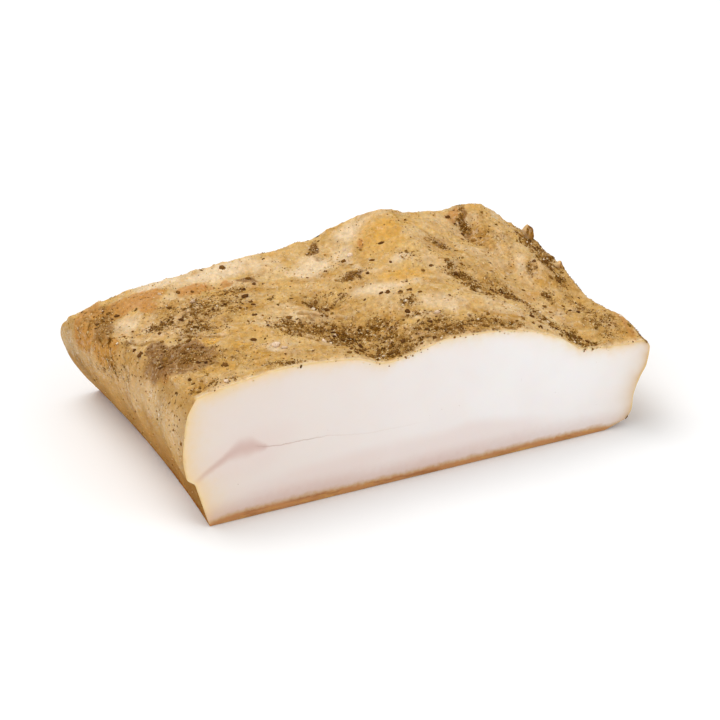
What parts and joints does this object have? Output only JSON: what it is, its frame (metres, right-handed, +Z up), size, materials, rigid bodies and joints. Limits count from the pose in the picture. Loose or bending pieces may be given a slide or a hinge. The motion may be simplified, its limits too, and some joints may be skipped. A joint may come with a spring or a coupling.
{
  "type": "pork belly slab",
  "caption": "Block of cured fat pork belly with the rind below, one clean cut face, and a tan crust of coarse ground spice on top.",
  "frame": {"origin": "middle of the overall box, on the flat rind that the slab rests on", "axes": "+X along the cut face, from its tall end to its low end; +Y from the cut face into the slab; +Z up from the rind to the spiced crust"},
  "size_m": [0.1983, 0.1178, 0.0586],
  "materials": {
    "crust": "greasy tan cured surface, uneven, with spice dust",
    "cut_fat": "smooth moist white fat with a faint pink streak",
    "rind": "thin brown-orange skin, lightly pored",
    "ground_pepper": "dry, dull, broken grains",
    "dried_herb": "dry, dull, curled flakes",
    "pale_crumb": "dry tan and cream grains",
    "salt": "clear to milky broken crystals"
  },
  "bodies": {
    "root": {"pork_slab": "crust"}
  },
  "joints": []
}
